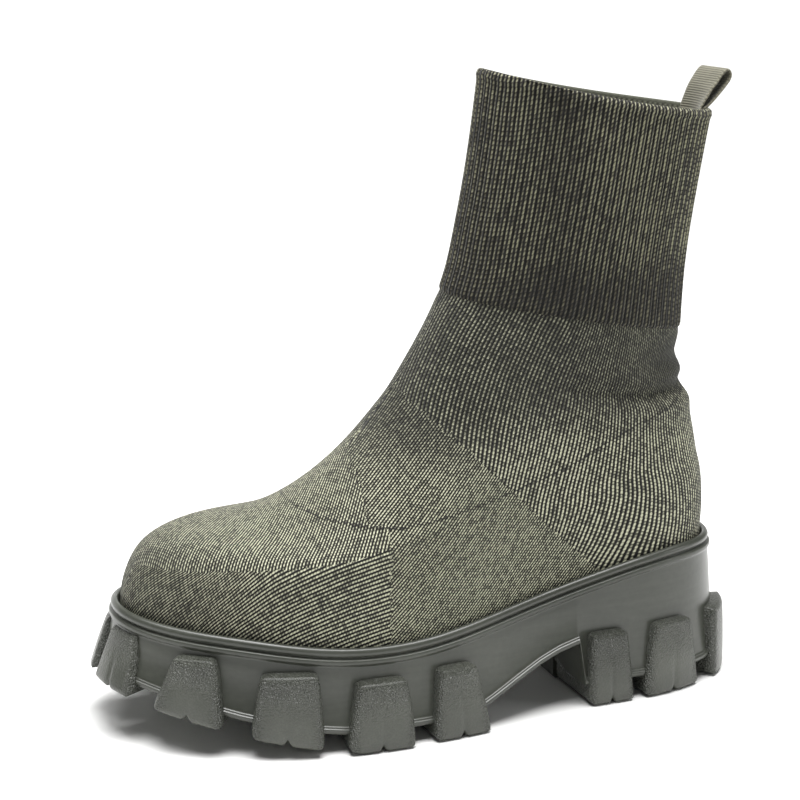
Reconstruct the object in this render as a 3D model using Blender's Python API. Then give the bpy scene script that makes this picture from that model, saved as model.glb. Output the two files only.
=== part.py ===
"""Left sock boot: a knitted upper with a ribbed shaft on a one-piece platform sole.

All sizes are in millimetres until the meshes are written in metres. x runs from the heel to
the toe, y to the wearer's left, which is the outer side of this left boot, and z up from the
ground.
"""

import math

import bmesh
import bpy
import numpy as np

MM = 0.001
SHARP_FOLD = math.radians(40.0)

# The last's plan at the feather line, where the upper meets the sole
HEEL_X = 5.0
TOE_X = 267.0
TOE_SWING = -9.0
SWING_START_X = 120.0
# x, reach to the outer side, reach to the inner side, both from the swung middle line
LAST_PLAN = (
    (5.0, 33.0, 32.5),
    (40.0, 34.0, 34.0),
    (60.0, 35.4, 34.0),
    (95.0, 38.3, 33.5),
    (130.0, 45.5, 37.5),
    (165.0, 51.0, 43.0),
    (195.0, 52.5, 43.5),
    (225.0, 48.0, 42.0),
    (267.0, 42.0, 40.0),
)
# x, height of the sole's top bead
RIM_HEIGHT = (
    (5.0, 64.0),
    (30.0, 65.0),
    (60.0, 60.8),
    (95.0, 53.3),
    (125.0, 47.4),
    (150.0, 43.2),
    (175.0, 42.2),
    (200.0, 44.4),
    (225.0, 48.0),
    (250.0, 50.6),
    (267.0, 52.8),
)

# Contours of the knitted upper, from its edge in the sole up to the collar. Each lies in the
# plane through a point of the front profile and a point of the back profile.
# front x, front z, back x, back z, share of the rim's dip, share of the last's plan, fullness,
# half width of the shaft, length and power of the front round, length and power of the back round
CONTOURS = (
    (267.0, 47.9, 5.0, 57.9, 1.00, 1.00, 1.000, 34.0, 62.0, 2.15, 45.0, 2.10),
    (266.4, 55.0, 5.0, 66.0, 1.00, 1.00, 1.000, 34.0, 62.0, 2.15, 45.0, 2.10),
    (265.0, 61.5, 4.6, 74.0, 0.94, 1.00, 1.005, 34.0, 61.0, 2.15, 45.0, 2.10),
    (261.9, 69.5, 4.7, 81.5, 0.87, 1.00, 1.000, 34.0, 60.0, 2.12, 45.0, 2.10),
    (255.6, 77.8, 5.2, 88.3, 0.78, 1.00, 0.990, 34.0, 62.0, 2.10, 45.0, 2.10),
    (242.8, 83.9, 6.2, 94.5, 0.68, 1.00, 0.980, 34.0, 66.0, 2.10, 45.0, 2.10),
    (225.0, 86.9, 7.8, 100.5, 0.57, 0.98, 0.970, 34.0, 70.0, 2.10, 45.0, 2.10),
    (207.0, 92.0, 9.0, 107.0, 0.46, 0.94, 0.960, 34.0, 72.0, 2.08, 45.0, 2.08),
    (188.0, 102.2, 10.5, 114.5, 0.34, 0.88, 0.950, 34.0, 72.0, 2.05, 45.0, 2.06),
    (170.8, 115.6, 12.5, 122.5, 0.22, 0.80, 0.940, 33.8, 70.0, 2.00, 45.0, 2.04),
    (155.4, 131.9, 15.4, 131.5, 0.12, 0.68, 0.930, 33.5, 66.0, 1.97, 46.0, 2.02),
    (141.6, 151.3, 17.6, 143.0, 0.05, 0.50, 0.920, 33.2, 60.0, 1.95, 47.0, 2.00),
    (127.4, 178.0, 17.8, 157.0, 0.00, 0.30, 0.910, 33.0, 55.0, 1.93, 49.0, 2.00),
    (120.6, 203.0, 16.6, 183.5, 0.00, 0.12, 0.900, 33.0, 51.5, 1.90, 51.0, 2.00),
    (115.0, 233.0, 12.8, 214.5, 0.00, 0.00, 0.900, 33.6, 50.0, 1.88, 51.0, 2.00),
    (110.2, 270.3, 6.6, 250.9, 0.00, 0.00, 0.900, 34.3, 51.0, 1.85, 52.0, 2.00),
)
RIB_START = 12.0
COLLAR = 15.0
COLLAR_DIP = 2.2
KNIT_WALL = 2.0
RIB_STEP = 0.4
STEP_LEVELS = 0.03
EDGE_ROLL = 0.9
EDGE_ROLL_LEVELS = 0.09
EDGE_CROWN = 0.6
UPPER_COLUMNS = 48
INSIDE_LEVELS = (0.0, 1.0, 2.0, 3.0, 4.0, 5.0, 6.0, 7.0, 8.0, 9.0, 10.0, 11.0, 12.0, 13.0, 14.0, 15.0)

# The sole's side, measured out from the feather line and down from the bead's top
SEAT_CLEARANCE = 0.45
SEAT_DEPTH = 6.5
SEAT_EDGE = 1.4
BEAD_WIDTH = 3.9
BEAD_SIDE_DROP = 2.2
BEAD_CORNER = 0.7
BEAD_CORNER_DROP = 0.5
GROOVE_OUT = 2.9
GROOVE_DROP = 3.6
STEP_OUT = 4.7
STEP_TOP_DROP = 4.4
STEP_FOOT_DROP = 6.6
WALL_TOP_OUT = 3.8
WALL_TOP_DROP = 7.3
# The wall hollows between its top and its foot: the top's share of the reach at mid height
WALL_HOLLOW = 0.56
LIP_OUT = 0.9
LIP_HEIGHT = 2.6
LIP_SHELF = 0.7
# The underside's edge: how far in it starts, and how far out and up its bevel ends
UNDER_INSET = 2.5
UNDER_BEVEL = (0.2, 1.0)
# x, reach of the wall's foot out from the feather line
WALL_FOOT = (
    (5.0, 9.0),
    (60.0, 6.5),
    (100.0, 7.0),
    (160.0, 8.0),
    (230.0, 8.0),
    (267.0, 8.0),
)
# x, height of the tread under each place: flat to the ball, then the toe spring
TREAD = (
    (-20.0, 0.0),
    (182.0, 0.0),
    (200.0, 2.8),
    (226.0, 8.0),
    (242.0, 12.2),
    (264.0, 17.6),
    (282.0, 22.0),
)
# x, height of the sole's underside between the lugs: heel, breast, arch, forefoot, toe spring
BREAST_X = 76.4
BREAST_TOP_X = 79.8
BASE = (
    (-20.0, 9.0),
    (BREAST_X, 9.0),
    (BREAST_TOP_X, 28.3),
    (90.0, 25.8),
    (100.0, 22.2),
    (112.0, 16.6),
    (123.0, 11.2),
    (133.0, 6.6),
    (182.0, 6.4),
    (200.0, 8.8),
    (226.0, 14.4),
    (242.0, 18.8),
    (264.0, 25.0),
    (282.0, 30.0),
)
SOLE_COLUMNS = 72

# Lugs of one side, from the heel's back to the toe's tip. The station is the middle of the
# lug's foot, measured along the lugs' faces from the middle of the heel's back on the outer
# side; the inner side is a little shorter, and its stations shrink with it.
# station, width at the top, width at the foot, lean of the top to the heel, height of the top,
# reach of the face at the top and at the foot, length under the sole
LUG_LINE = 11.0
LUGS = (
    (20.5, 28.0, 31.0, 0.0, 32.2, 11.3, 12.3, 20.0),
    (61.5, 21.0, 34.0, -0.8, 33.4, 10.0, 10.0, 28.0),
    (93.3, 18.0, 22.5, -2.1, 32.8, 10.0, 10.0, 33.0),
    (168.5, 17.7, 28.0, -1.7, 30.8, 11.0, 13.0, 43.0),
    (205.3, 22.3, 30.3, 0.9, 29.5, 11.5, 14.0, 46.0),
    (244.5, 25.0, 31.0, 1.0, 34.8, 11.0, 13.5, 41.0),
    (286.0, 18.6, 31.8, 2.2, 40.4, 10.0, 14.0, 30.0),
    (325.8, 23.0, 27.5, 0.0, 44.6, 5.4, 13.8, 20.0),
)
# Steps from a lug's face to its root: how far in, how far its sides and top are drawn in, and
# how far its foot is raised
LUG_FACE = (
    (0.0, 1.8, 4.2),
    (1.4, 0.3, 1.1),
    (3.4, 0.0, 0.0),
)
# run and rise of the corner cut off the foot, on the heel's side and on the toe's side
HEELWARD_CUT = (2.5, 2.0)
TOEWARD_CUT = (2.0, 1.4)
# Middle pads of the tread: x from and to, half width
PADS = (
    (24.0, 77.0, 10.0),
    (138.0, 236.0, 10.0),
)
PAD_STEP = 14.0
PAD_BEVEL = 1.2
LUG_ROOT = 1.5
LUG_TOP_IN_SOLE = 3.0
SIPE_HALF = 1.6
SIPE_DEPTH = 2.0

# The insole and the ribbon loop
INSOLE_THICKNESS = 3.0
INSOLE_CLEARANCE = 0.4
RIBBON_WIDTH = 19.0
RIBBON_THICKNESS = 1.2
RIBBON_TURN = math.radians(-9.0)
RIBBON_COLUMNS = 5
# The ribbon's course from the leg beside the wall, over the edge and back down inside:
# forward of the wall's inside, up from the collar's edge
RIBBON_COURSE = (
    (1.1, -15.0),
    (1.1, -7.0),
    (1.15, -1.0),
    (0.85, 0.8),
    (-0.9, 2.1),
    (-4.5, 7.2),
    (-7.3, 12.3),
    (-8.1, 14.8),
    (-7.3, 16.5),
    (-5.4, 16.5),
    (-2.5, 12.9),
    (-0.4, 9.2),
    (0.9, 5.8),
    (2.1, 2.0),
    (2.7, -3.0),
    (2.7, -15.0),
)
RIBBON_POINTS = 31
RIBBON_FREE = 12.0
# The stretch of the collar's back, in angle, that the ribbon lies along
RIBBON_REACH = 0.9


def spline(rows, column, x):
    """Natural cubic spline through a table's first column and the given one."""
    xs = np.array([row[0] for row in rows], float)
    ys = np.array([row[column] for row in rows], float)
    h = np.diff(xs)
    count = len(xs)
    matrix = np.eye(count)
    bend = np.zeros(count)
    for i in range(1, count - 1):
        matrix[i, i - 1:i + 2] = h[i - 1], 2.0 * (h[i - 1] + h[i]), h[i]
        bend[i] = 6.0 * ((ys[i + 1] - ys[i]) / h[i] - (ys[i] - ys[i - 1]) / h[i - 1])
    second = np.linalg.solve(matrix, bend)
    x = np.clip(x, xs[0], xs[-1])
    k = np.clip(np.searchsorted(xs, x) - 1, 0, count - 2)
    a = (xs[k + 1] - x) / h[k]
    b = 1.0 - a
    curve = ((a ** 3 - a) * second[k] + (b ** 3 - b) * second[k + 1]) * h[k] ** 2 / 6.0
    return a * ys[k] + b * ys[k + 1] + curve


def straight(rows, column, x):
    """Straight runs through a table's first column and the given one."""
    return np.interp(x, [row[0] for row in rows], [row[column] for row in rows])


def contour(column, level):
    """One column of the contours' table at a level between its rows."""
    rows = [(i, row[column]) for i, row in enumerate(CONTOURS)]
    return spline(rows, 1, level)


def middle_line(x):
    """How far the last's middle line has swung to the inner side at x."""
    s = np.clip((x - SWING_START_X) / (TOE_X - SWING_START_X), 0.0, 1.0)
    return TOE_SWING * s * s * (3.0 - 2.0 * s)


def end_round(x, end, length, power):
    """1 along the contour, falling to 0 on a round at its end."""
    t = np.clip(1.0 - np.abs(end - x) / length, 0.0, 1.0)
    return (1.0 - t ** power) ** (1.0 / power)


def last_reach(x, side):
    """Half width of the last's plan on one side, before its ends are rounded."""
    return np.where(side > 0, spline(LAST_PLAN, 1, x), spline(LAST_PLAN, 2, x))


def feather_line(angle):
    """Plan of the feather line. Angle 0 is the heel's back and pi the toe's tip."""
    x = HEEL_X + (TOE_X - HEEL_X) * (1.0 - np.cos(angle)) / 2.0
    side = np.where(np.sin(angle) >= 0.0, 1.0, -1.0)
    front_len, front_pow, back_len, back_pow = CONTOURS[0][8:]
    ends = end_round(x, TOE_X, front_len, front_pow) * end_round(x, HEEL_X, back_len, back_pow)
    return x, middle_line(x) + side * ends * last_reach(x, side)


def offset_line(angle, out):
    """Plan of the line that runs a given distance outside the feather line."""
    step = 1e-3
    x, y = feather_line(angle)
    x0, y0 = feather_line(angle - step)
    x1, y1 = feather_line(angle + step)
    run = np.hypot(x1 - x0, y1 - y0)
    return x - out * (y1 - y0) / run, y + out * (x1 - x0) / run


def rim_height(x):
    return spline(RIM_HEIGHT, 1, x)


def rim_dip(x):
    """How far the rim lies from the straight line between its heel and its toe."""
    heel, toe = RIM_HEIGHT[0][1], RIM_HEIGHT[-1][1]
    share = np.clip((x - HEEL_X) / (TOE_X - HEEL_X), 0.0, 1.0)
    return rim_height(x) - heel - (toe - heel) * share


def tread_height(x):
    return straight(TREAD, 1, x)


def base_height(x):
    return straight(BASE, 1, x)


def upper_point(level, angle):
    """Point of the upper's surface at a level and an angle round it."""
    front_x, front_z, back_x, back_z = (contour(i, level) for i in range(4))
    dip, share, full, half = (contour(i, level) for i in range(4, 8))
    front_len, front_pow, back_len, back_pow = (contour(i, level) for i in range(8, 12))
    along = (1.0 - np.cos(angle)) / 2.0
    x = back_x + (front_x - back_x) * along
    side = np.where(np.sin(angle) >= 0.0, 1.0, -1.0)
    ends = end_round(x, front_x, front_len, front_pow) * end_round(x, back_x, back_len, back_pow)
    reach = share * full * last_reach(x, side) + (1.0 - share) * half
    y = share * middle_line(x) + side * ends * reach
    shaft = np.clip((level - RIB_START) / (COLLAR - RIB_START), 0.0, 1.0)
    z = back_z + (front_z - back_z) * along + dip * rim_dip(x)
    z = z - COLLAR_DIP * shaft * np.sin(angle) ** 2
    return np.stack(np.broadcast_arrays(x, y, z), axis=-1)


def upper_skin(level, angle, lift):
    """Upper's surface moved out along its normal by lift."""
    step = 1e-3
    up = upper_point(np.clip(level + step, 0.0, COLLAR), angle)
    up = up - upper_point(np.clip(level - step, 0.0, COLLAR), angle)
    around = upper_point(level, angle + step) - upper_point(level, angle - step)
    normal = np.cross(up, around)
    normal = normal / np.linalg.norm(normal, axis=-1, keepdims=True)
    return upper_point(level, angle) + normal * lift


def new_object(name, points, faces, material):
    """Object from points in millimetres, shaded smooth over all but its sharp folds."""
    mesh = bpy.data.meshes.new(name)
    mesh.from_pydata([tuple(float(c) * MM for c in p) for p in points], [], faces)
    shell = bmesh.new()
    shell.from_mesh(mesh)
    bmesh.ops.recalc_face_normals(shell, faces=shell.faces)
    shell.to_mesh(mesh)
    shell.free()
    mesh.materials.append(material)
    mesh.shade_smooth()
    mesh.set_sharp_from_angle(angle=SHARP_FOLD)
    mesh.validate()
    item = bpy.data.objects.new(name, mesh)
    bpy.context.collection.objects.link(item)
    return item


def new_material(name, colour, roughness):
    material = bpy.data.materials.new(name)
    material.use_nodes = True
    shader = material.node_tree.nodes["Principled BSDF"]
    shader.inputs["Base Color"].default_value = (*colour, 1.0)
    shader.inputs["Roughness"].default_value = roughness
    shader.inputs["Metallic"].default_value = 0.0
    return material


def tube_faces(rings, columns, first=0, close=False):
    """Quads between rings of equal length, stacked in order."""
    faces = []
    for r in range(rings if close else rings - 1):
        low = first + r * columns
        high = first + (r + 1) % rings * columns
        for c in range(columns):
            d = (c + 1) % columns
            faces.append((low + c, low + d, high + d, high + c))
    return faces


def ladder_faces(columns, first):
    """Fill a ring with rungs from its outer side to its inner side."""
    faces = []
    for c in range(columns // 2):
        quad = (c, c + 1, columns - c - 1, (columns - c) % columns)
        faces.append(tuple(dict.fromkeys(first + corner for corner in quad)))
    return faces


def strip_faces(count, first):
    """Fill a ring of two rows of points, the second row running back."""
    quads = [(c, c + 1, 2 * count - 2 - c, 2 * count - 1 - c) for c in range(count - 1)]
    return [tuple(first + corner for corner in quad) for quad in quads]


def make_upper(material):
    """The knitted sock: outer skin, rolled edge, inner skin and the edge in the sole."""
    angles = np.arange(UPPER_COLUMNS) * 2.0 * math.pi / UPPER_COLUMNS
    foot = [0.0, 1.0, 1.5] + [2.0 + 0.5 * i for i in range(20)]
    shaft = [RIB_START, RIB_START + STEP_LEVELS] + [RIB_START + 0.5 * i for i in range(1, 6)]
    edge = [COLLAR - EDGE_ROLL_LEVELS - STEP_LEVELS, COLLAR - EDGE_ROLL_LEVELS, COLLAR]
    rings = []
    for level in foot:
        rings.append(upper_skin(level, angles, 0.0))
    for level in shaft:
        rings.append(upper_skin(level, angles, RIB_STEP if level > RIB_START else 0.0))
    for level, lift in zip(edge, (RIB_STEP, EDGE_ROLL, EDGE_ROLL)):
        rings.append(upper_skin(level, angles, lift))
    crown = upper_skin(COLLAR, angles, (EDGE_ROLL - KNIT_WALL) / 2.0)
    rings.append(crown + np.array((0.0, 0.0, EDGE_CROWN)))
    for level in reversed(INSIDE_LEVELS):
        rings.append(upper_skin(level, angles, -KNIT_WALL))
    points = np.concatenate(rings)
    faces = tube_faces(len(rings), UPPER_COLUMNS, close=True)
    return new_object("upper", points, faces, material)


def sole_angles():
    """Columns of the sole, the same on both sides, with two at the heel's breast."""
    angles = [i * 2.0 * math.pi / SOLE_COLUMNS for i in range(1, SOLE_COLUMNS // 2)]
    breast = []
    for x in (BREAST_X, BREAST_TOP_X):
        breast.append(math.acos(1.0 - 2.0 * (x - HEEL_X) / (TOE_X - HEEL_X)))
    room = math.pi / SOLE_COLUMNS
    angles = [a for a in angles if min(abs(a - b) for b in breast) > room] + breast
    side = sorted(angles)
    return np.array([0.0] + side + [math.pi] + [2.0 * math.pi - a for a in reversed(side)])


def make_sole_body(material):
    """The moulded sole without its lugs."""
    angles = sole_angles()
    x, _ = feather_line(angles)
    rim = rim_height(x)
    base = base_height(x)
    foot = spline(WALL_FOOT, 1, x)
    middle = (base + LIP_HEIGHT + rim - WALL_TOP_DROP) / 2.0
    section = (
        (foot - UNDER_INSET, base),
        (foot + UNDER_BEVEL[0], base + UNDER_BEVEL[1]),
        (foot + LIP_OUT, base + LIP_HEIGHT),
        (foot, base + LIP_HEIGHT + LIP_SHELF),
        (WALL_HOLLOW * WALL_TOP_OUT + (1.0 - WALL_HOLLOW) * foot, middle),
        (WALL_TOP_OUT + 0.0 * x, rim - WALL_TOP_DROP),
        (STEP_OUT + 0.0 * x, rim - STEP_FOOT_DROP),
        (STEP_OUT + 0.0 * x, rim - STEP_TOP_DROP),
        (GROOVE_OUT + 0.0 * x, rim - GROOVE_DROP),
        (BEAD_WIDTH + 0.0 * x, rim - BEAD_SIDE_DROP),
        (BEAD_WIDTH - BEAD_CORNER + 0.0 * x, rim - BEAD_CORNER_DROP),
        (0.5 * BEAD_WIDTH + 0.0 * x, rim),
        (SEAT_CLEARANCE + BEAD_CORNER_DROP + 0.0 * x, rim - BEAD_CORNER_DROP),
        (SEAT_CLEARANCE + 0.0 * x, rim - SEAT_EDGE),
        (SEAT_CLEARANCE + 0.0 * x, rim - SEAT_DEPTH),
    )
    rings = []
    for out, height in section:
        px, py = offset_line(angles, out)
        rings.append(np.stack([px, py, height], axis=-1))
    columns = len(angles)
    faces = tube_faces(len(rings), columns)
    faces += ladder_faces(columns, 0)
    faces += ladder_faces(columns, (len(rings) - 1) * columns)
    return new_object("sole", np.concatenate(rings), faces, material)


def lug_line_table(side):
    """Lengths along the lugs' line of one side and the angles where they are reached."""
    angles = np.linspace(0.0, side * math.pi, 600)
    x, y = offset_line(angles, LUG_LINE)
    lengths = np.concatenate([[0.0], np.cumsum(np.hypot(np.diff(x), np.diff(y)))])
    return lengths, angles


def lug_mesh(row, side):
    """One lug: a tapered block that stands out of the wall and runs in under the sole."""
    station, top_width, foot_width, lean, top, out_top, out_foot, length = row
    lengths, angles = lug_line_table(side)
    station = station * lengths[-1] / lug_line_table(1.0)[0][-1]
    heelward = 2.0 * HEELWARD_CUT[0] / foot_width - 1.0
    toeward = 1.0 - 2.0 * TOEWARD_CUT[0] / foot_width
    notch = 2.0 * SIPE_HALF / foot_width
    across = np.array([-1.0, heelward, -0.4, -notch, 0.0, notch, 0.4, toeward, 1.0])
    sipe = np.where(across == 0.0, SIPE_DEPTH, 0.0)
    cut = np.where(across == 1.0, TOEWARD_CUT[1], 0.0)
    cut = np.where(across == -1.0, HEELWARD_CUT[1], cut)
    layers = [(inward, inset, rise, False) for inward, inset, rise in LUG_FACE]
    layers += [(None, 0.0, 0.0, False), (length, 0.0, 0.0, True)]
    rings = []
    for inward, inset, rise, deep in layers:
        foot_angle = np.interp(station + across * (foot_width / 2.0 - inset), lengths, angles)
        top_angle = np.interp(station - lean + across * (top_width / 2.0 - inset), lengths, angles)
        foot_out = LUG_ROOT if inward is None else out_foot - inward
        top_out = LUG_ROOT if inward is None else out_top - inward
        fx, fy = offset_line(foot_angle, foot_out)
        tx, ty = offset_line(foot_angle if deep else top_angle, top_out)
        foot_z = tread_height(fx) + sipe + cut + rise
        top_z = base_height(tx) + LUG_TOP_IN_SOLE if deep else top - inset + 0.0 * across
        low = np.stack([fx, fy, foot_z], axis=-1)
        high = np.stack([tx, ty, top_z], axis=-1)
        rings.append(np.concatenate([low, high[::-1]]))
    count = len(across)
    faces = tube_faces(len(rings), 2 * count)
    faces += strip_faces(count, 0)
    faces += strip_faces(count, (len(rings) - 1) * 2 * count)
    return np.concatenate(rings), faces


def pad_mesh(row):
    """One of the tread's middle pads, a bar along the last's middle line."""
    start, end, half = row
    steps = int(round((end - start) / PAD_STEP))
    rings = []
    for i, x in enumerate(np.linspace(start, end, steps + 1)):
        foot = tread_height(x)
        top = base_height(x) + LUG_TOP_IN_SOLE
        middle = middle_line(x)
        outline = (
            (-half, top), (-half, foot + PAD_BEVEL), (PAD_BEVEL - half, foot),
            (half - PAD_BEVEL, foot), (half, foot + PAD_BEVEL), (half, top),
        )
        rings.append(np.array([(x, middle + y, z) for y, z in outline]))
    corners = len(rings[0])
    faces = tube_faces(len(rings), corners)
    faces.append(tuple(range(corners)))
    faces.append(tuple((len(rings) - 1) * corners + i for i in range(corners)))
    return np.concatenate(rings), faces


def make_lugs(material):
    """All lugs and pads in one mesh, which the sole takes in."""
    blocks = [lug_mesh(row, side) for side in (1.0, -1.0) for row in LUGS]
    blocks += [pad_mesh(row) for row in PADS]
    points = []
    faces = []
    for block_points, block_faces in blocks:
        first = sum(len(p) for p in points)
        points.append(block_points)
        faces += [tuple(first + i for i in face) for face in block_faces]
    lugs = new_object("sole_lugs", np.concatenate(points), faces, material)
    lugs.hide_render = True
    lugs.display_type = "WIRE"
    return lugs


def make_sole(material):
    """The sole's body with the lugs moulded on."""
    sole = make_sole_body(material)
    lugs = make_lugs(material)
    union = sole.modifiers.new("lugs", "BOOLEAN")
    union.operation = "UNION"
    union.solver = "EXACT"
    union.use_self = True
    union.object = lugs
    return sole


def make_insole(material):
    """Flat liner inside the upper's foot, on the sole's seat."""
    angles = np.arange(UPPER_COLUMNS) * 2.0 * math.pi / UPPER_COLUMNS
    x, _ = feather_line(angles)
    px, py = offset_line(angles, -KNIT_WALL - INSOLE_CLEARANCE)
    seat = rim_height(x) - SEAT_DEPTH + INSOLE_CLEARANCE
    low = np.stack([px, py, seat], axis=-1)
    high = np.stack([px, py, seat + INSOLE_THICKNESS], axis=-1)
    faces = tube_faces(2, UPPER_COLUMNS)
    faces += ladder_faces(UPPER_COLUMNS, 0)
    faces += ladder_faces(UPPER_COLUMNS, UPPER_COLUMNS)
    return new_object("insole", np.concatenate([low, high]), faces, material)


def make_pull_loop(material):
    """Ribbon folded over the collar's back, both ends inside the wall."""
    steps = np.linspace(0.0, len(RIBBON_COURSE) - 1.0, RIBBON_POINTS)
    rows = [(i, *row) for i, row in enumerate(RIBBON_COURSE)]
    forward = spline(rows, 1, steps)
    up = spline(rows, 2, steps)
    run = np.gradient(forward), np.gradient(up)
    size = np.hypot(*run)
    normal_x, normal_z = run[1] / size, -run[0] / size
    levels = np.linspace(COLLAR - 1.0, COLLAR, 21)
    back = upper_skin(levels, 0.0 * levels, -KNIT_WALL)
    edge_x, _, edge_z = back[-1]
    wall_x = np.interp(edge_z + up, back[:, 2], back[:, 0])
    across = np.linspace(-0.5, 0.5, RIBBON_COLUMNS) * RIBBON_WIDTH
    wall = upper_skin(COLLAR, np.linspace(-RIBBON_REACH, RIBBON_REACH, 181), -KNIT_WALL)
    bow = np.interp(across, wall[:, 1], wall[:, 0]) - edge_x
    rings = []
    for i in range(RIBBON_POINTS):
        hold = np.clip(1.0 - up[i] / RIBBON_FREE, 0.0, 1.0)
        turn = (1.0 - hold) * math.tan(RIBBON_TURN) * across
        for sign, order in ((1.0, slice(None)), (-1.0, slice(None, None, -1))):
            x = wall_x[i] + forward[i] + hold * bow + turn
            x = x + sign * normal_x[i] * RIBBON_THICKNESS / 2.0
            z = edge_z + up[i] + sign * normal_z[i] * RIBBON_THICKNESS / 2.0 + 0.0 * across
            rings.append(np.stack([x, across, z], axis=-1)[order])
    points = np.concatenate(rings)
    columns = 2 * RIBBON_COLUMNS
    faces = tube_faces(RIBBON_POINTS, columns)
    faces += strip_faces(RIBBON_COLUMNS, 0)
    faces += strip_faces(RIBBON_COLUMNS, (RIBBON_POINTS - 1) * columns)
    return new_object("pull_loop", points, faces, material)


def centre_on_ground(items):
    """Move every mesh so that the box round the boot is centred over the origin."""
    corners = np.array([v.co[:] for item in items for v in item.data.vertices])
    middle = (corners.min(axis=0) + corners.max(axis=0)) / 2.0
    for item in items:
        for vertex in item.data.vertices:
            vertex.co.x -= middle[0]
            vertex.co.y -= middle[1]


def main():
    for item in list(bpy.data.objects):
        bpy.data.objects.remove(item, do_unlink=True)
    knit = new_material("knit", (0.11, 0.12, 0.075), 0.85)
    moulded = new_material("moulded_sole", (0.10, 0.12, 0.10), 0.45)
    liner = new_material("liner", (0.05, 0.055, 0.04), 0.9)
    ribbon = new_material("ribbon", (0.10, 0.11, 0.07), 0.7)
    make_sole(moulded)
    make_upper(knit)
    make_insole(liner)
    make_pull_loop(ribbon)
    centre_on_ground(list(bpy.data.objects))


main()
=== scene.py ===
import math

import bmesh
import bpy
import numpy as np
from mathutils import Matrix, Vector


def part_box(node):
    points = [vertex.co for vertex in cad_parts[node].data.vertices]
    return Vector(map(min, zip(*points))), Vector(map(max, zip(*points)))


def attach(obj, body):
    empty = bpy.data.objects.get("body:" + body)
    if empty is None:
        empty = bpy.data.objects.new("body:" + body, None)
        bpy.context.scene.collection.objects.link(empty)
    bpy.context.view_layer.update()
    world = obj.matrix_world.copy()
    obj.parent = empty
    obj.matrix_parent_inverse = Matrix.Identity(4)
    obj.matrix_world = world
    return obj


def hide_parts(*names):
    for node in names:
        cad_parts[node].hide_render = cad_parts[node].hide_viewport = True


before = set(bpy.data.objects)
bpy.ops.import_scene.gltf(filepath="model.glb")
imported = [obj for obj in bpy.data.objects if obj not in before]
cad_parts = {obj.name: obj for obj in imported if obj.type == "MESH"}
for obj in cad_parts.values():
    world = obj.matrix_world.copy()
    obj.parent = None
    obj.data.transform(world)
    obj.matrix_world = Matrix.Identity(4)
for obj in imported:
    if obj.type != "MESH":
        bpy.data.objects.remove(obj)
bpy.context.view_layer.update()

MM = 0.001

# The boot's own shapes, in mm
# x runs from the heel to the toe, y to the outer side and z up, before the box is centred.
HEEL_X = 5.0
TOE_X = 267.0
TOE_SWING = -9.0
SWING_START_X = 120.0
# x, reach to the outer side, reach to the inner side
LAST_PLAN = (
    (5.0, 33.0, 32.5),
    (40.0, 34.0, 34.0),
    (60.0, 35.4, 34.0),
    (95.0, 38.3, 33.5),
    (130.0, 45.5, 37.5),
    (165.0, 51.0, 43.0),
    (195.0, 52.5, 43.5),
    (225.0, 48.0, 42.0),
    (267.0, 42.0, 40.0),
)
# x, height of the sole's top bead
RIM_HEIGHT = (
    (5.0, 64.0),
    (30.0, 65.0),
    (60.0, 60.8),
    (95.0, 53.3),
    (125.0, 47.4),
    (150.0, 43.2),
    (175.0, 42.2),
    (200.0, 44.4),
    (225.0, 48.0),
    (250.0, 50.6),
    (267.0, 52.8),
)
# front x, front z, back x, back z, share of the rim's dip, share of the last's plan, fullness,
# half width of the shaft, length and power of the front round, length and power of the back round
CONTOURS = (
    (267.0, 47.9, 5.0, 57.9, 1.00, 1.00, 1.000, 34.0, 62.0, 2.15, 45.0, 2.10),
    (266.4, 55.0, 5.0, 66.0, 1.00, 1.00, 1.000, 34.0, 62.0, 2.15, 45.0, 2.10),
    (265.0, 61.5, 4.6, 74.0, 0.94, 1.00, 1.005, 34.0, 61.0, 2.15, 45.0, 2.10),
    (261.9, 69.5, 4.7, 81.5, 0.87, 1.00, 1.000, 34.0, 60.0, 2.12, 45.0, 2.10),
    (255.6, 77.8, 5.2, 88.3, 0.78, 1.00, 0.990, 34.0, 62.0, 2.10, 45.0, 2.10),
    (242.8, 83.9, 6.2, 94.5, 0.68, 1.00, 0.980, 34.0, 66.0, 2.10, 45.0, 2.10),
    (225.0, 86.9, 7.8, 100.5, 0.57, 0.98, 0.970, 34.0, 70.0, 2.10, 45.0, 2.10),
    (207.0, 92.0, 9.0, 107.0, 0.46, 0.94, 0.960, 34.0, 72.0, 2.08, 45.0, 2.08),
    (188.0, 102.2, 10.5, 114.5, 0.34, 0.88, 0.950, 34.0, 72.0, 2.05, 45.0, 2.06),
    (170.8, 115.6, 12.5, 122.5, 0.22, 0.80, 0.940, 33.8, 70.0, 2.00, 45.0, 2.04),
    (155.4, 131.9, 15.4, 131.5, 0.12, 0.68, 0.930, 33.5, 66.0, 1.97, 46.0, 2.02),
    (141.6, 151.3, 17.6, 143.0, 0.05, 0.50, 0.920, 33.2, 60.0, 1.95, 47.0, 2.00),
    (127.4, 178.0, 17.8, 157.0, 0.00, 0.30, 0.910, 33.0, 55.0, 1.93, 49.0, 2.00),
    (120.6, 203.0, 16.6, 183.5, 0.00, 0.12, 0.900, 33.0, 51.5, 1.90, 51.0, 2.00),
    (115.0, 233.0, 12.8, 214.5, 0.00, 0.00, 0.900, 33.6, 50.0, 1.88, 51.0, 2.00),
    (110.2, 270.3, 6.6, 250.9, 0.00, 0.00, 0.900, 34.3, 51.0, 1.85, 52.0, 2.00),
)
RIB_START = 12.0
COLLAR = 15.0
COLLAR_DIP = 2.2
KNIT_WALL = 2.0
INSOLE_CLEARANCE = 0.4
SEAT_DEPTH = 6.5
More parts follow.
